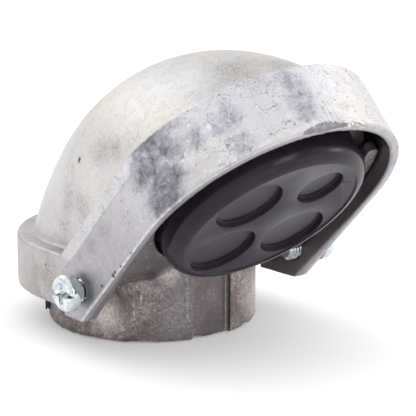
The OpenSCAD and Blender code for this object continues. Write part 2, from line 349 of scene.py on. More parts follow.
def hood_marks(points, normals):
    """Pits, the broken gate on the front edge, and an uneven skin."""
    skin = 0.02 * ripple(points, 11) - 0.02
    away = points + normals * skin[:, None]
    for x, y, z, radius, depth in HOOD_PITS:
        near = 1 - np.sum((points - (x, y, z)) ** 2, 1) / radius ** 2
        away -= normals * (depth * np.clip(near, 0, 1))[:, None]

    # In the mouth's axes: the collar's arch is trued up to a round
    turn = np.array(MOUTH)[:3, :3]
    centre = np.array(MOUTH)[:3, 3]
    local = (away - centre) @ turn
    x, up, out = local.T
    r = np.hypot(x, up - ARCH_UP)
    arch = (np.abs(r - EAR_X) < 0.25) & (up > ARCH_UP) & (out < -0.8) & (out > 0.8 - PAD_DEPTH)
    grow = np.where(arch, (EAR_X + skin) / r, 1)
    local[:, 0] = x * grow
    local[:, 1] = ARCH_UP + (up - ARCH_UP) * grow

    # The gate: the front edge's corner is broken off, and crumbs stand along the break
    x, up, out = local.T
    r = np.hypot(x, up - ARCH_UP)
    depth = GATE_DEPTH * (1 - ((x - GATE_X) / GATE_HALF) ** 2)
    depth = np.maximum(depth, 0.25 * ((x > 0) & (x < 12))) * (1 + 0.2 * ripple(points, 2.2))
    crumbs = 0.3 * np.clip(ripple(points, 1.3), 0, 1) * ((x > -2) & (x < 11))
    front = (r > 34) & (out > -2.5) & (up > ARCH_UP) & (x > GATE_X - GATE_HALF) & (x < 13)
    corner = r - EAR_X + out
    extra = np.where(front, np.clip(corner + depth, 0, None), 0) / 2
    extra = np.where(front & (corner > -depth - 0.7), extra - crumbs / 2, extra)
    spread = np.stack([x / r, (up - ARCH_UP) / r, np.zeros_like(r)], 1)
    local -= spread * extra[:, None]
    local[:, 2] -= extra
    return local @ turn.T + centre


def hub_marks(points, normals):
    """The hub's lower edge is uneven and a little rounded, as broken off the sprue."""
    moved = points + normals * (0.03 * ripple(points, 8) - 0.03)[:, None]
    x, y, z = moved.T
    r = np.hypot(x, y)
    turn = np.degrees(np.arctan2(y, x)) % 360
    chip = sum(tall * np.clip(1 - ((turn - middle) / half) ** 2, 0, 1)
               for middle, half, tall in HUB_CHIPS)
    low = np.clip(1 - z / 1.8, 0, 1) * np.clip((r - 24.8) / 1.5, 0, 1)
    lift = low * (0.16 + 0.16 * ripple(points * (1, 1, 0), 7) + chip)
    inward = 0.35 * np.clip(1 - z / 0.9, 0, 1) ** 2 * np.clip((r - 26) / 1.5, 0, 1)
    keep = 1 - inward / r
    return np.stack([x * keep, y * keep, np.maximum(z + lift, 0)], 1)


def finish(obj, name, node, coating, smooth=180):
    """Brings a finished solid to metres and puts it in the frame, in place of its node.

    Edges sharper than smooth, in degrees, stay sharp.
    """
    if obj.mode != "OBJECT":
        bpy.ops.object.mode_set(mode="OBJECT")
    obj.name = obj.data.name = name
    obj.data.transform(Matrix.Scale(MM, 4))
    bpy.ops.object.select_all(action="DESELECT")
    obj.select_set(True)
    bpy.context.view_layer.objects.active = obj
    if smooth < 180:
        bpy.ops.object.shade_smooth_by_angle(angle=math.radians(smooth))
    else:
        bpy.ops.object.shade_smooth()
    obj.data.materials.clear()
    obj.data.materials.append(coating)
    record = frame["record"]
    body = next(b for b, nodes in record["behaviour"]["bodies"].items() if node in nodes)
    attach(obj, body)
    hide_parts(node)
    return obj


# ------------------------------------------------------------------- materials
def colour(code):
    """sRGB hex to linear RGBA."""
    parts = [int(code[i:i + 2], 16) / 255 for i in (0, 2, 4)]
    return [c / 12.92 if c <= 0.04045 else ((c + 0.055) / 1.055) ** 2.4 for c in parts] + [1]


def add(tree, kind, inputs=(), output=None, **settings):
    """Adds a node with its settings and gives its first output, or the one that is named.

    The inputs, by name or in order, take a value, a hex colour or a socket each.
    """
    node = tree.nodes.new("ShaderNode" + kind)
    for key, value in settings.items():
        setattr(node, key, value)
    in_use = [socket for socket in node.inputs if socket.enabled]
    named = inputs if isinstance(inputs, dict) else dict(enumerate(inputs))
    for key, value in named.items():
        socket = in_use[key] if isinstance(key, int) else node.inputs[key]
        if isinstance(value, bpy.types.NodeSocket):
            tree.links.new(value, socket)
        else:
            socket.default_value = colour(value) if isinstance(value, str) else value
    if output:
        return node.outputs[output]
    return next((socket for socket in node.outputs if socket.enabled), None)


def material(name):
    """A new material, and Object coordinates in mm for its patterns."""
    made = bpy.data.materials.new(name)
    made.use_nodes = True
    tree = made.node_tree
    tree.nodes.clear()
    metres = add(tree, "TexCoord", output="Object")
    return made, tree, add(tree, "VectorMath", (metres, [1 / MM] * 3), operation="MULTIPLY")


def share(tree, *parts):
    """Strengths multiplied together.

    One that is a tuple is a range: a value, where it starts and ends, and what these two
    ends become, which is 0 and 1 unless it says so.
    """
    total = None
    for part in parts:
        if isinstance(part, tuple):
            part = add(tree, "MapRange", part)
        if total is not None:
            part = add(tree, "Math", (total, part), operation="MULTIPLY")
        total = part
    return total


def lay(tree, tone, *marks):
    """Lays marks over a tone, in order: each is a colour and then its strengths."""
    for code, *parts in marks:
        tone = add(tree, "Mix", (share(tree, *parts), tone, code), data_type="RGBA")
    return tone


def stains(tree, place, spots, hard=0.15):
    """How strongly each point lies in one of the stains, each given as x, y, z and radius."""
    total = None
    for x, y, z, radius in spots:
        away = add(tree, "VectorMath", (place, (x, y, z)), operation="DISTANCE")
        inside = add(tree, "MapRange", (away, radius, hard * radius),
                     interpolation_type="SMOOTHSTEP")
        total = inside if total is None else add(tree, "Math", (total, inside),
                                                 operation="MAXIMUM")
    return total


def curls(tree, place, size, width):
    """Thin curly marks about size mm long, broken up: where a noise crosses its middle."""
    noise = add(tree, "TexNoise", {"Vector": place, "Scale": 1 / size, "Detail": 2,
                                   "Roughness": 0.6, "Distortion": 0.7})
    off = add(tree, "Math", (noise, 0.5), operation="SUBTRACT")
    off = add(tree, "Math", (off,), operation="ABSOLUTE")
    gate = add(tree, "TexNoise", {"Vector": place, "Scale": 1 / (1.3 * size), "Detail": 3})
    return share(tree, (off, width, width / 4), (gate, 0.46, 0.58))


def coat(made, finish, relief=()):
    """Ends a material: finish holds the shader's inputs, and each bump of the relief is a
    height, its depth in mm and its strength, laid over the one before."""
    tree = made.node_tree
    for height, depth, strength in relief:
        bump = {"Height": height, "Distance": depth * MM, "Strength": strength}
        if "Normal" in finish:
            bump["Normal"] = finish["Normal"]
        finish["Normal"] = add(tree, "Bump", bump)
    add(tree, "OutputMaterial", (add(tree, "BsdfPrincipled", finish),))
    return made


def hood_metal():
    """Die-cast aluminium, tumbled bright.

    Pale silver on the dome and duller on the collar, with bluish stains where the die
    lubricant burnt on, curly tumbling marks, painted shade in the creases, pits and inner
    faces, bright edges that are part rubbed wear and part painted highlight, and a fine
    orange-peel skin.
    """
    made, tree, place = material("tumbled_die_cast_aluminium")
    warmth, cloud, wave, dents, grain, fine_grain = (
        add(tree, "TexNoise", {"Vector": place, "Scale": 1 / size, "Detail": detail,
                               "Roughness": rough})
        for size, detail, rough in ((22, 3, 0.5), (14, 5, 0.6), (8, 2, 0.5), (2.4, 3, 0.6),
                                    (1.6, 6, 0.72), (0.55, 3, 0.7)))
    # Stains and some marks are torn: their place is pushed about by up to 4 mm
    torn = add(tree, "TexNoise", {"Vector": place, "Scale": 1 / 6, "Detail": 5,
                                  "Roughness": 0.6}, "Color")
    shift = add(tree, "VectorMath", (torn, (0.5, 0.5, 0.5)), operation="SUBTRACT")
    pushed = add(tree, "VectorMath", (shift, (9, 9, 9), place), operation="MULTIPLY_ADD")

    # Where a point lies: out of the mouth, up its slope and away from the arch's axis
    from_mouth = add(tree, "VectorMath", (place, (0, MOUTH_Y, -MOUTH_Z)), operation="ADD")
    out, up = (add(tree, "VectorMath", (from_mouth, axis), operation="DOT_PRODUCT")
               for axis in (OUT, UP))
    above = add(tree, "Math", (up, ARCH_UP), operation="SUBTRACT")
    above = add(tree, "Math", (above, 0), operation="MAXIMUM")
    across = add(tree, "SeparateXYZ", (place,), "X")
    height = add(tree, "SeparateXYZ", (place,), "Z")
    arch = add(tree, "VectorMath", (add(tree, "CombineXYZ", (across, above)),),
               operation="LENGTH")
    collar = share(tree, (out, -COLLAR_DEPTH - 0.4, 0.3 - COLLAR_DEPTH))
    pads = (out, -PAD_DEPTH - 0.4, 0.2 - PAD_DEPTH, 0.45, 1)
    low = share(tree, (height, 56, 32), pads)
    # Painted shade on the faces inside the arch and the ears
    shaded_inside_faces = share(tree, (arch, EAR_X - 1.7, EAR_X - 2.2),
                   (out, 0.8 - COLLAR_DEPTH, 1.6 - COLLAR_DEPTH))
    skirt = share(tree, (height, SHELF + 0.5, SHELF - 0.5),
                  (out, 0.2 - PAD_DEPTH, -PAD_DEPTH - 0.4))

    # The collar is bluer than the dome and the skirt is duller; dome and collar darken towards
    # the bottom, and the faces inside the arch and the ears are darkened as painted shade
    warm = share(tree, (warmth, 0.4, 0.62))
    dome_tone = lay(tree, "c8c7c9", ("cdc8c3", warm), ("b4b1b3", (height, 45, 24, 0, 0.75)))
    collar_tone = lay(tree, "d3d2d8", ("d6d3d2", warm), ("a8a5a9", low), ("827d81", shaded_inside_faces))
    cloud_tone = lay(tree, "a9a5a3", ("96959e", collar))
    tone = lay(tree, dome_tone, (collar_tone, collar),
               ("9f9a99", skirt, (cloud, 0.4, 0.62, 0.3, 1)),
               (cloud_tone, (cloud, 0.5, 0.7, 0, 0.5), (grain, 0.32, 0.62, 0.25, 1)))

    # Burnt-on stains: a broad dark patch on the collar's left, small blue ones along its
    # top, and grey smudges on the ear, the dome and the skirt; the two lowest on the ear,
    # beside the left screw, are painted shade round its head
    dark = stains(tree, pushed, [
        (-35.5, -43, 56.5, 6), (-34.5, -47, 58.5, 6), (-35.5, -46, 51.5, 6.5),
        (-34.8, -49.6, 54.5, 7), (-35.2, -52.2, 49.8, 7), (-34, -55.5, 51.5, 6),
        (-34.9, -56.4, 47, 6), (-35.5, -53, 45.5, 6), (-33, -51.5, 57.5, 5)])
    dark = share(tree, dark, collar, (grain, 0.33, 0.62, 0.5, 1))
    blue = stains(tree, pushed, [
        (-31, -48.5, 62, 7), (-23.5, -61.5, 65, 5.5), (-22.7, -67, 59.5, 4.5),
        (-29, -57, 60.5, 5), (-7, -63.4, 73, 5), (-6, -66.8, 70, 5.5), (-6.5, -70.2, 66.7, 5)])
    smudge_and_screw_shade = stains(tree, pushed, [
        (-37.2, -24.5, 14.5, 6), (-37.2, -29, 17, 5), (-37.2, -31.5, 36, 4),
        (-37.2, -26, 30, 4), (-36.5, -20.5, 25.5, 3), (-30.8, -22, 52, 6),
        (-30.8, -27, 53.4, 5), (-31.5, -7.8, 36.8, 6), (-31.6, -14, 37, 6),
        (-31.6, -6, 31, 4), (-36.2, -6, 18, 5), (-9, -47, 73.3, 10),
        (-14.8, -59.9, 73.1, 5), (2, -52, 75, 9), (14, -44, 71, 8)])
    tone = lay(tree, tone, ("5d5d6b", dark, 0.95),
               ("84869a", blue, collar, (grain, 0.3, 0.66, 0.2, 0.85)),
               ("7b7878", smudge_and_screw_shade, (fine_grain, 0.42, 0.62, 0.05, 0.6)))

    # Curly tumbling marks, drawn 0.2 mm wide, coarser than the real ones, so that they show
    scuffed = share(tree, (collar, 0, 1, 0.5, 1), (shaded_inside_faces, 0, 1, 1, 0.25),
                    (low, 0, 1, 1, 0.45))
    bright_curl = curls(tree, pushed, 1.3, 0.04)
    tone = lay(tree, tone, ("6f6e77", curls(tree, place, 2.2, 0.03), 0.6, scuffed),
               ("f1f0f0", bright_curl, 0.55, scuffed, (dark, 0.1, 0.8, 1, 0.3)),
               ("77747a", (fine_grain, 0.37, 0.3, 0, 0.65)))

    # Painted shade in the creases and in and round the pits, and bright edges that are part
    # rubbed wear, part painted highlight
    bend = add(tree, "NewGeometry", output="Pointiness")
    painted_pit_shade = stains(tree, place, [(x, y, z, 1.6 * r) for x, y, z, r, depth in HOOD_PITS], 0.5)
    tone = lay(tree, tone, ("756d69", (bend, 0.487, 0.45, 0, 0.55)),
               ("eeedec", (bend, 0.54, 0.64, 0, 0.7)), ("45403f", painted_pit_shade, 0.8))

    # The broken gate is a grey facet across the front edge, with crumbs to its right
    along = add(tree, "Math", (across, 1 / GATE_HALF, -GATE_X / GATE_HALF),
                operation="MULTIPLY_ADD")
    depth = add(tree, "Math", (share(tree, along, along), -GATE_DEPTH, GATE_DEPTH),
                operation="MULTIPLY_ADD")
    corner = add(tree, "Math", (arch, out), operation="ADD")
    past = add(tree, "Math", (corner, depth), operation="ADD")
    at_top = share(tree, (up, 50, 60))
    facet = share(tree, (past, EAR_X - 0.4, EAR_X - 0.1), (depth, 0, 0.2), at_top)
    crumbs = share(tree, (corner, EAR_X - 1.5, EAR_X - 1), (across, 0.5, 2),
                   (across, 11.5, 8.5), at_top)
    # The arch's front face, which faces down, is darkened as painted shade; the front edge is
    # bright, part rubbed wear and part painted highlight, most on the ears; the crumbs get
    # painted highlights and painted shade
    tone = lay(tree, tone, ("9a989c", (out, -0.8, -0.3), (up, 40, 52), 0.6),
               ("f6f5f4", (corner, EAR_X - 0.65, EAR_X - 0.35), (low, 0, 1, 0.15, 1),
                (grain, 0.35, 0.6, 0.8, 0.35)),
               ("f4f3f3", crumbs, (fine_grain, 0.52, 0.6, 0, 0.7)),
               ("6b6768", crumbs, (fine_grain, 0.47, 0.4, 0, 0.8)),
               ("77777d", facet, (grain, 0.35, 0.6, 0.7, 0.95)))

    rough = add(tree, "Math", (dark, 0.12, share(tree, (grain, 0.3, 0.7, 0.33, 0.48))),
                operation="MULTIPLY_ADD")
    return coat(made, {"Base Color": tone, "Metallic": 1, "Roughness": rough},
                ((wave, 0.4, 0.5), (share(tree, dents, scuffed), 0.3, 0.6),
                 (fine_grain, 0.07, 0.6), (share(tree, bright_curl, scuffed), 0.08, 0.6)))


def body_metal():
    """Die-cast aluminium as it left the die.

    Brownish grey and mottled, with reddish specks, cream scuffs where the skin is rubbed
    through and draw marks; pale patches of painted light on the hub and its slanted face,
    painted highlights on the groove's corners and the edges, and painted shade in the creases
    and along the groove's step.
    """
    made, tree, place = material("raw_die_cast_aluminium")
    cloud, rusty, wave, grain, fine_grain = (
        add(tree, "TexNoise", {"Vector": place, "Scale": 1 / size, "Detail": detail,
                               "Roughness": rough})
        for size, detail, rough in ((8, 5, 0.65), (5, 4, 0.5), (4, 3, 0.5), (1.3, 7, 0.74),
                                    (0.5, 3, 0.7)))
    across, depth, height = (add(tree, "SeparateXYZ", (place,), axis) for axis in "XYZ")
    # Painted light: paler patches where the light falls, on the right of the hub and below the
    # slanted face
    painted_light_patches = stains(tree, place, [(21, -19, 6, 15), (21, -18, 16, 12), (-12.5, -25.1, 18, 4.5),
                                  (-24.5, -13.5, 7, 6)])
    # Only the hub is scuffed; the slanted face above it lies in the hood's shelter
    worn = share(tree, (cloud, 0.58, 0.42, 0.2, 1), (height, 19.5, 17, 0.12, 1))
    tone = lay(tree, "867f81", ("5f585a", (cloud, 0.36, 0.66)),
               ("70605b", (rusty, 0.5, 0.66), 0.5), ("4d4748", (grain, 0.52, 0.68, 0, 0.75)),
               ("dcd6d2", painted_light_patches, (fine_grain, 0.35, 0.62, 0.85, 0.3)),
               ("d4c8b9", curls(tree, place, 1.3, 0.04), worn, 0.6),
               ("cfc3b6", curls(tree, place, 0.7, 0.045), worn, 0.6),
               ("dccfbf", (fine_grain, 0.38, 0.3, 0, 0.85), worn))

    # The flat groove is smoother and the hub bluer beside it; the corners catch the light
    front = share(tree, (depth, -20, -22), (height, 17.8, 17))
    tone = lay(tree, tone,
               ("6a6365", (across, GROOVE_LEFT - 0.2, GROOVE_LEFT + 0.2),
                (across, GROOVE_RIGHT + 0.2, GROOVE_RIGHT - 0.2), front, 0.6),
               ("716f75", (across, -19, -10), (across, GROOVE_LEFT + 0.3, GROOVE_LEFT - 0.3),
                front, 0.45))
    # Painted highlights on the groove's corners, and a painted shade line along its right step
    for middle, half, code in ((GROOVE_LEFT, 0.3, "b7b3b4"),
                               (GROOVE_RIGHT - 0.7, 0.35, "bcb6b3"),
                               (GROOVE_RIGHT, 0.25, "2f2b2c")):
        away = add(tree, "Math", (across, middle), operation="SUBTRACT")
        away = add(tree, "Math", (away,), operation="ABSOLUTE")
        tone = lay(tree, tone, (code, (away, half, half / 3), (grain, 0.3, 0.55, 1, 0.5),
                                front, 0.85))

    # Draw marks run up the hub in the direction the die opened
    stretched = add(tree, "VectorMath", (place, (1, 1, 0.05)), operation="MULTIPLY")
    drawn = add(tree, "TexNoise", {"Vector": stretched, "Scale": 1 / 0.9, "Detail": 2})
    # Painted light on the slanted face, painted shade in creases, painted highlights on edges
    bend = add(tree, "NewGeometry", output="Pointiness")
    tone = lay(tree, tone, ("c9c1b8", (drawn, 0.64, 0.74, 0, 0.6), (grain, 0.55, 0.42)),
               ("a09a9c", (height, 19.5, 21.5, 0, 0.25)),
               ("332e2f", (bend, 0.487, 0.45, 0, 0.9)), ("cfcbc8", (bend, 0.54, 0.64, 0, 0.6)))
    return coat(made, {"Base Color": tone, "Metallic": 0.85,
                       "Roughness": share(tree, (grain, 0.3, 0.7, 0.38, 0.6))},
                ((wave, 0.3, 0.5), (grain, 0.18, 0.6), (fine_grain, 0.06, 0.6)))


def insulator_plastic():
    """Black phenolic moulding: a warm dark grey, satin, with a faint moulded grain.

    Greyer where it is rubbed, with a few pale specks; the walls of the knockouts are
    duller, and darker with painted shade.
    """
    made, tree, place = material("moulded_black_phenolic")
    cloud = add(tree, "TexNoise", {"Vector": place, "Scale": 1 / 9, "Detail": 5,
                                   "Roughness": 0.62})
    skin = add(tree, "TexNoise", {"Vector": place, "Scale": 1 / 0.6, "Detail": 3})
    from_disc = add(tree, "VectorMath", (place, mouth(0, DISH_UP, 0)), operation="SUBTRACT")
    out = add(tree, "VectorMath", (from_disc, OUT), operation="DOT_PRODUCT")
    away = add(tree, "VectorMath", (from_disc,), operation="LENGTH")
    # Painted shade on the knockouts' walls
    shaded_knockout_walls = share(tree, (out, 1.95, 1.8), (out, 0.6, 0.8), (away, 23.6, 23.2))
    tone = lay(tree, "201a23", ("2a232c", (cloud, 0.35, 0.65)),
               ("8b868b", (skin, 0.72, 0.78, 0, 0.3)), ("120c12", shaded_knockout_walls))
    rough = add(tree, "Math", (shaded_knockout_walls, 0.4, share(tree, (cloud, 0.3, 0.7, 0.18, 0.27))),
                operation="MULTIPLY_ADD")
    return coat(made, {"Base Color": tone, "Roughness": rough, "Specular IOR Level": 0.18},
                ((cloud, 0.3, 0.25), (skin, 0.04, 0.4)))


def zinc_plate():
    """Steel with bright zinc plate: bluish white, a little cloudy, with painted shade in the
    recess.
    """
    made, tree, place = material("zinc_plated_steel")
    cloud = add(tree, "TexNoise", {"Vector": place, "Scale": 1 / 1.5, "Detail": 4,
                                   "Roughness": 0.65})
    bend = add(tree, "NewGeometry", output="Pointiness")
    tone = lay(tree, "b9c2c8", ("dfe3e4", (cloud, 0.35, 0.65)),
               ("6f7068", (bend, 0.49, 0.42, 0, 0.85)))
    return coat(made, {"Base Color": tone, "Metallic": 1,
                       "Roughness": share(tree, (cloud, 0.3, 0.7, 0.1, 0.24))},
                ((cloud, 0.1, 0.4),))


def black_oxide():
    """Steel with a black oxide finish: dark grey, dull."""
    made, tree, place = material("black_oxide_steel")
    cloud = add(tree, "TexNoise", {"Vector": place, "Scale": 1 / 1.2, "Detail": 4})
    return coat(made, {"Base Color": lay(tree, "47464a", ("6f6d70", cloud)), "Metallic": 1,
                       "Roughness": share(tree, (cloud, 0.3, 0.7, 0.38, 0.52))})


# ------------------------------------------------------------------------ hood
def blend(a, b, c, t):
    """From a towards b and on to c, in one smooth curve."""
    return (1 - t) ** 2 * a + 2 * t * (1 - t) * b + t * t * c


def dome(inset, reach, rows=44, cols=96):
    """The dome: an arch that turns about the hinge line from the shelf to the collar.

    It runs on by reach, straight down at one end and straight out at the other.
    """
    half = DOME_X - inset

    def loop(turn, t, shift=(0, 0)):
        side = blend(HINGE_Y, *DOME_SIDE, t)
        rise = blend(DOME_X, *DOME_RISE, t) - inset
        points = [(-half, -HINGE_Y + shift[0], SHELF + shift[1])]
        for j in range(cols + 1):
            a = math.pi * j / cols
            r = side + rise * math.sin(a)
            points.append((-half * math.cos(a),
                           -HINGE_Y - r * math.cos(turn) + shift[0],
                           SHELF + r * math.sin(turn) + shift[1]))
        points.append((half, -HINGE_Y + shift[0], SHELF + shift[1]))
        return points

    tilt = math.radians(45)
    out = -reach * math.sin(tilt)
    loops = [loop(math.pi, 0, (0, -reach))]
    for i in range(rows + 1):
        t = i / rows
        loops.append(loop(math.pi - (math.pi - tilt) * t, t))
    loops.append(loop(tilt, 1, (out, out)))
    return loft(loops)


def between_ears(low, high, gap):
    """The space inside the arch and the ears, less a gap, in the mouth's axes."""
    block = arch_block(EAR_X - WALL - gap, ARCH_UP, FAR, low, high)
    for side in (-1, 1):
        cut(block, (side * (EAR_GAP_X - gap), 0, 0), (side, -TAPER, 0))
    return block


def hood():
    """The hood: skirt, collar with its ears, and dome, hollow, with the screws' holes."""
    # Skirt, with a rounded top edge that becomes the shelf
    outside = arch_block(SKIRT_R, 0, FAR, SKIRT_LOW, SHELF)
    bevel(outside, lambda a, b: min(a.z, b.z) > SHELF - 0.01 and max(a.y, b.y) > 1 - FAR,
          SHELF_ROUND, 4)
    cut(outside, mouth(0, 0, 0), OUT)

    # Collar: raised pads in front, as wide as the skirt behind them
    pads = arch_block(EAR_X, ARCH_UP, FAR, -PAD_DEPTH, 0)
    pads.data.transform(MOUTH)
    cut(pads, (0, -PAD_BACK, 0), (0, 1, 0))
    cut(pads, (0, 0, EAR_LOW), (0, 0, -1))
    strip = arch_block(EAR_X, ARCH_UP, FAR, -COLLAR_DEPTH, -0.5)
    strip.data.transform(MOUTH)
    cut(strip, (SKIRT_R, 0, 0), (1, 0, 0))
    cut(strip, (-SKIRT_R, 0, 0), (-1, 0, 0))
    cut(strip, (0, 0, SKIRT_LOW + 0.3), (0, 0, -1))
    cut(strip, (0, 0, 0), (0, 1, 0))

    # The ears' thick parts reach back along the skirt
    thick = arch_block(SKIRT_R - WALL / 2, 0, FAR, EAR_LOW, SKIRT_LOW + 1)
    cut(thick, mouth(0, 0, -WALL), OUT)
    cut(thick, (0, -EAR_BACK, 0), (0, 1, 0))
    combine(outside, "UNION", pads, strip, thick, dome(0, 1))

    # Hollow: the skirt's inside, the space between the ears, and the dome's inside
    inside = arch_block(SKIRT_R - WALL, 0, EAR_BACK, -20, FLANGE_TOP)

    def inside_ears(low, high):
        block = between_ears(low, high, 0)
        block.data.transform(MOUTH)
        return block

    low_part = inside_ears(-60, 60)
    cut(low_part, (0, 1 - EAR_BACK, 0), (0, 1, 0))
    cut(low_part, (0, 0, FLANGE_TOP), (0, 0, 1))
    front_part = inside_ears(WALL - PAD_DEPTH, 60)
    cut(front_part, (0, -PAD_BACK - WALL, 0), (0, 1, 0))
    back_part = inside_ears(WALL - COLLAR_DEPTH, 60)
    cut(back_part, (0, 0, 0), (0, 1, 0))
    for side in (-1, 1):
        cut(back_part, (side * (SKIRT_R - WALL), 0, 0), (side, 0, 0))
    combine(inside, "UNION", low_part, front_part, back_part, dome(WALL, WALL + 1))
    combine(outside, "DIFFERENCE", inside)

    # Three ribs inside the arch stop the insulator from moving back
    for turn in (-50, 0, 50):
        turned = (MOUTH @ Matrix.Translation((0, ARCH_UP, 0))
                  @ Matrix.Rotation(math.radians(turn), 4, "Z"))
        rib = box((-RIB_HALF, RIB_REACH[0], RIB_BACK), (RIB_HALF, RIB_REACH[1], RIB_FRONT),
                  turned)
        combine(outside, "UNION", rib)
    for side in (-1, 1):
        hole = cylinder(SCREW_R + THREAD_GAP, 0, 12, 48,
                        Matrix.Translation((side * 30, SCREW_Y, SCREW_Z))
                        @ Matrix.Rotation(side * math.pi / 2, 4, "Y"))
        combine(outside, "DIFFERENCE", hole)
    return outside


# ------------------------------------------------------------------------ body
def round_bar(r, low, high, place=None):
    """A cylinder with enough sides for the large rounds of the body."""
    return cylinder(r, low, high, 192, place)


def body():
    """The body: hub with its groove and bore, flange, slanted face with horns, and lugs."""
    hub = round_bar(HUB_R, 0, FLANGE_TOP)
    groove = box((GROOVE_LEFT, -40, -1), (GROOVE_RIGHT, -20, FAR))
    combine(groove, "DIFFERENCE", round_bar(HUB_INNER_R, -2, FAR + 1))
    combine(hub, "DIFFERENCE", groove)

    # The hub's front runs up to the slanted face
    front = round_bar(HUB_INNER_R, FLANGE_LOW, FAR)
    cut(front, (0, -STOP_R, 0), (0, 1, 0))
    cut(front, mouth(0, 0, FACE_FRONT), OUT)
    cut(front, mouth(0, 0, FACE_BACK), [-c for c in OUT])

    # The flange and the face fit between the hood's ears
    flange = round_bar(FLANGE_R, FLANGE_LOW, FLANGE_TOP)
    cut(flange, mouth(0, 0, FACE_FRONT), OUT)
    room = between_ears(-70, 70, HOOD_GAP)
    room.data.transform(MOUTH)
    combine(room, "UNION", box((-60, HOOD_GAP - EAR_BACK, -10), (60, 60, 60)))
    combine(flange, "INTERSECT", room)

    face = between_ears(FACE_BACK, FACE_FRONT, HOOD_GAP)
    cut(face, (0, FACE_UP, 0), (0, 1, 0))
    combine(face, "DIFFERENCE",
            round_bar(SLOT_R, -12, 2, Matrix.Translation((0, SLOT_UP, 0))))
    for side in (-1, 1):
        place = Matrix.Translation((side * HORN_X, HORN_UP, 0))
        combine(face, "UNION", cylinder(HORN_R, FACE_BACK, FACE_FRONT, 48, place))
    face.data.transform(MOUTH)
    cut(face, (0, 0, FLANGE_LOW), (0, 0, -1))
    combine(hub, "UNION", front, flange, face)

    # Lugs over the cover screws' tips keep the hood down
    for side in (-1, 1):
        low, high = sorted((side * LUG_X, side * 40))
        lug = box((low, SCREW_Y - LUG_HALF, FLANGE_LOW), (high, SCREW_Y + LUG_HALF, LUG_TOP))
        limit = between_ears(-70, 70, HOOD_GAP)
        limit.data.transform(MOUTH)
        combine(lug, "INTERSECT", limit)
        cut(lug, mouth(0, 0, FACE_FRONT), OUT)
        combine(hub, "UNION", lug)
        notch = cylinder(NOTCH_R, 0, 40, 48,
                         Matrix.Translation((side * NOTCH_X, SCREW_Y, SCREW_Z))
                         @ Matrix.Rotation(side * math.pi / 2, 4, "Y"))
        combine(hub, "DIFFERENCE", notch)

    # Bore with the stop at its top, the insulator's slot and its rim's room, set screws
    slot = MOUTH @ Matrix.Translation((0, SLOT_UP, 0))
    rim = MOUTH @ Matrix.Translation((0, DISH_UP, 0))
    for hole in (round_bar(BORE_R, -1, FLANGE_TOP - STOP_THICK), round_bar(STOP_R, -2, FAR),
                 round_bar(SLOT_R, FACE_BACK, 20, slot),
                 round_bar(RIM_ROOM_R, FACE_BACK - RIM_ROOM, FACE_BACK, rim)):
        combine(hub, "DIFFERENCE", hole)
    for side in (-1, 1):
        combine(hub, "DIFFERENCE", cylinder(SET_R + THREAD_GAP, 15, 40, 48, set_place(side)))
    return hub


def set_place(side):
    """Along a set screw, outwards from the bore's axis."""
    return (Matrix.Translation((0, 0, SET_Z))
            @ Matrix.Rotation(-math.pi / 2 + side * SET_ANGLE, 4, "Z")
            @ Matrix.Rotation(math.pi / 2, 4, "Y"))


# ------------------------------------------------------------------- insulator
def insulator():
    """The dish with its four knockouts, and the rim behind it that keeps it in."""
    dish = round_bar(DISH_R, FACE_BACK, DISH_OUT)
    bevel(dish, lambda a, b: min(a.z, b.z) > DISH_OUT - 0.1, DISH_ROUND, 12)
    # The face lies a little below the rounded edge
    choose(dish, faces=lambda c, n: n.z > 0.999)
    bpy.ops.mesh.inset(thickness=0.12)
    bpy.ops.transform.translate(value=(0, 0, -DISH_FACE_SUNK))
    done(dish)
    # The rim, and the hollow behind
    choose(dish, faces=lambda c, n: n.z < -0.9)
    bpy.ops.mesh.extrude_region_move()
    bpy.ops.transform.resize(value=(RIM_R / DISH_R, RIM_R / DISH_R, 1),
                             center_override=(0, 0, FACE_BACK))
    bpy.ops.mesh.extrude_region_move(TRANSFORM_OT_translate={"value": (0, 0, -RIM_THICK)})
    bpy.ops.mesh.inset(thickness=RIM_WALL)
    bpy.ops.mesh.extrude_region_move(TRANSFORM_OT_translate={"value": (0, 0, HOLLOW_DEEP)})
    done(dish)
    # Each knockout is a recess that widens outwards
    floor_less, top_more = KNOCKOUT_DRAFT
    for x, y, r in ((-1, 1, KNOCKOUT_R), (1, 1, SMALL_KNOCKOUT_R), (1, -1, KNOCKOUT_R),
                    (-1, -1, KNOCKOUT_R)):
        knockout = start(bpy.ops.mesh.primitive_cone_add, vertices=96,
                         radius1=r + floor_less, radius2=r + top_more, depth=2.55,
                         location=(0, 0, 1.825))
        knockout.data.transform(Matrix.Rotation(KNOCKOUT_TURN, 4, "Z")
                                @ Matrix.Translation((x * KNOCKOUT_OFF, y * KNOCKOUT_OFF, 0)))
        combine(dish, "DIFFERENCE", knockout)
    dish.data.transform(MOUTH @ Matrix.Translation((0, DISH_UP, 0)))
    apply(dish, "TRIANGULATE", min_vertices=5)
    return apply(dish, "BEVEL", width=0.15, segments=3, limit_method="ANGLE",
                 angle_limit=math.radians(28), use_clamp_overlap=False)


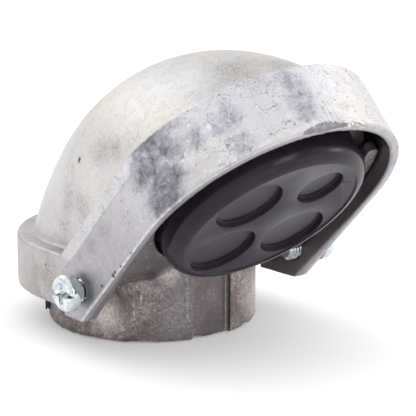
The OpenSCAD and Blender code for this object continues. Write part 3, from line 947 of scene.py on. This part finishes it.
# ---------------------------------------------------------------------- screws
def thread(r, depth, pitch, low, high, chamfer):
    """Threaded shank along Z, with its lower end chamfered."""
    root = r - depth
    mesh = bpy.data.meshes.new("profile")
    points = [(root, 0), (root, 0.12), (r, 0.44), (r, 0.56), (root, 0.88), (root, 1)]
    mesh.from_pydata([(x, 0, z * pitch) for x, z in points],
                     [(i, i + 1) for i in range(5)], [])
    obj = bpy.data.objects.new("thread", mesh)
    bpy.context.scene.collection.objects.link(obj)
    bpy.ops.object.select_all(action="DESELECT")
    obj.select_set(True)
    bpy.context.view_layer.objects.active = obj
    turns = math.ceil((high - low) / pitch) + 3
    apply(obj, "SCREW", axis="Z", angle=math.tau, screw_offset=pitch, iterations=turns,
          steps=36, render_steps=36)
    obj.data.transform(Matrix.Translation((0, 0, low - 1.5 * pitch)))
    choose(obj, faces=lambda c, n: True)
    bpy.ops.mesh.remove_doubles(threshold=0.001)
    done(obj)
    cut(obj, (0, 0, low), (0, 0, -1))
    cut(obj, (0, 0, high), (0, 0, 1))
    choose(obj, faces=lambda c, n: True)
    bpy.ops.mesh.select_all(action="SELECT")
    bpy.ops.mesh.normals_make_consistent(inside=False)
    done(obj)
    limit = cylinder(r + 0.02, low + 0.01, high + 1, 72)
    bevel(limit, lambda a, b: max(a.z, b.z) < low + 0.02, chamfer, 1)
    return combine(obj, "INTERSECT", limit)


def cover_screw():
    """Pan head screw along +Z from the underside of its head."""
    head = cylinder(HEAD_R, 0, HEAD_H, 96)
    bevel(head, lambda a, b: min(a.z, b.z) > HEAD_H - 0.01, HEAD_ROUND, 6)
    bevel(head, lambda a, b: max(a.z, b.z) < 0.01, 0.25, 2)
    # A slot right across, and a cross that narrows to its floor
    slot = box((-SLOT_HALF, -8, HEAD_H - SLOT_DEPTH), (SLOT_HALF, 8, HEAD_H + 1))
    combine(head, "DIFFERENCE", slot)
    floor_z = HEAD_H - CROSS_DEPTH
    for x, y in ((CROSS_LONG, CROSS_HALF), (CROSS_HALF, CROSS_LONG)):
        arm = box((-x, -y, floor_z), (x, y, HEAD_H + 0.6))
        choose(arm, faces=lambda c, n: n.z < -0.9)
        bpy.ops.transform.resize(value=(0.5, 0.5, 1), center_override=(0, 0, floor_z))
        done(arm)
        combine(head, "DIFFERENCE", arm)
    apply(head, "BEVEL", width=0.1, segments=2, limit_method="ANGLE",
          angle_limit=math.radians(30))
    shank = thread(SCREW_R, 0.5, PITCH, -SCREW_L, 0.5, 0.7)
    return combine(head, "UNION", shank)


def set_screw():
    """Set screw along +Z from its tip, with a hexagon socket."""
    screw = thread(SET_R, 0.4, SET_PITCH, 0, SET_L, 0.5)
    socket = cylinder(SOCKET_R, SET_L - SOCKET_DEPTH, SET_L + 1, 6)
    return combine(screw, "DIFFERENCE", socket)


# ----------------------------------------------------------------------- build
zinc = zinc_plate()
oxide = black_oxide()

# Each casting's cell in mm, its smoothing rounds and the triangles it may keep
HOOD_MESH = (0.38, 3, 196000)
BODY_MESH = (0.36, 2, 170000)
hood_piece = move_points(solid_casting(hood(), *HOOD_MESH), hood_marks)
finish(hood_piece, "hood_casting", "hood", hood_metal())
body_piece = move_points(solid_casting(body(), *BODY_MESH), hub_marks)
finish(body_piece, "body_casting", "body", body_metal())
finish(insulator(), "insulator_moulding", "insulator", insulator_plastic(), 25)

for side, word, out, turn in ((-1, "left", LEFT_OUT, LEFT_TURN),
                              (1, "right", RIGHT_OUT, RIGHT_TURN)):
    piece = cover_screw()
    piece.data.transform(Matrix.Translation((side * (EAR_X + out), SCREW_Y, SCREW_Z))
                         @ Matrix.Rotation(side * math.pi / 2, 4, "Y")
                         @ Matrix.Rotation(turn, 4, "Z"))
    finish(piece, "zinc_cover_screw_" + word, "cover_screw_" + word, zinc, 30)
    piece = set_screw()
    piece.data.transform(set_place(side) @ Matrix.Translation((0, 0, SET_TIP)))
    finish(piece, "socket_set_screw_" + word, "set_screw_" + word, oxide, 30)

# ------------------------------------------------------------- floor and light
# Metres from here on. The floor lies a hair below the hub's edge
floor = start(bpy.ops.mesh.primitive_plane_add, size=6, location=(0, 0, -0.0002))
floor.name = "floor"
floor_paint, tree, place = material("pale_floor")
paper = add(tree, "TexNoise", {"Vector": place, "Scale": 1 / 40, "Detail": 2})
# The table is lit a little from inside, so that the shade on it stays pale
coat(floor_paint, {"Base Color": lay(tree, "fafafa", ("fcfcfc", paper)), "Roughness": 0.9,
                   "Emission Color": "ffffff", "Emission Strength": 0.13})
floor.data.materials.append(floor_paint)

world = bpy.context.scene.world or bpy.data.worlds.new("studio")
bpy.context.scene.world = world
world.use_nodes = True
sky = world.node_tree.nodes["Background"]
sky.inputs["Color"].default_value = colour("ffffff")
sky.inputs["Strength"].default_value = 1.05
# The Standard view keeps whites white and doesn't grey the metal
bpy.context.scene.view_settings.view_transform = "Standard"

TARGET = Vector((0, -0.02, 0.04))


def towards_piece(obj, spot):
    """Puts a panel in its spot, facing the piece."""
    obj.location = spot
    obj.rotation_euler = (TARGET - Vector(spot)).to_track_quat("-Z", "Y").to_euler()


def softbox(name, spot, size, brightness):
    """A white panel that faces the piece; brightness is what a mirror would show."""
    light = bpy.data.lights.new(name, "AREA")
    light.shape = "RECTANGLE"
    light.size, light.size_y = size
    light.energy = brightness * math.pi * size[0] * size[1]
    obj = bpy.data.objects.new(name, light)
    towards_piece(obj, spot)
    bpy.context.scene.collection.objects.link(obj)


black_cloth, tree, place = material("black_studio_cloth")
weave = add(tree, "TexNoise", {"Vector": place, "Scale": 1 / 5})
coat(black_cloth, {"Base Color": lay(tree, "1c1c1f", ("2a2a2d", weave)), "Roughness": 1})


def flag(name, spot, size):
    """A black cloth on a frame that gives the metal something dark to mirror."""
    obj = start(bpy.ops.mesh.primitive_plane_add, size=1, scale=(size[0], size[1], 1))
    obj.name = name
    towards_piece(obj, spot)
    obj.data.materials.append(black_cloth)
    obj.visible_camera = obj.visible_diffuse = obj.visible_shadow = False


softbox("panel_behind", (-0.25, 0.9, 0.7), (1.2, 0.7), 0.7)
softbox("panel_right", (0.95, -0.1, 0.7), (0.8, 0.8), 0.6)
softbox("panel_above", (-0.5, 0.1, 0.9), (0.6, 0.6), 0.35)
softbox("window_front", (0.03, -0.82, 0.3), (0.27, 0.4), 5)
softbox("window_right", (0.74, -0.47, 0.14), (0.2, 0.18), 6)
flag("flag_front", (0.1, -1.1, 0.2), (1.7, 0.46))

# The camera stands low on the left, half a metre away, and looks along CAMERA_AIM
CAMERA_AT = (-0.27733, -0.38469, 0.14025)
CAMERA_AIM = (0.594, 0.771, -0.228)
camera_data = bpy.data.cameras.new("camera")
camera_data.lens = 156.8
camera_data.sensor_width = 36
camera = bpy.data.objects.new("camera", camera_data)
camera.location = CAMERA_AT
camera.rotation_euler = Vector(CAMERA_AIM).to_track_quat("-Z", "Y").to_euler()
bpy.context.scene.collection.objects.link(camera)
bpy.context.scene.camera = camera
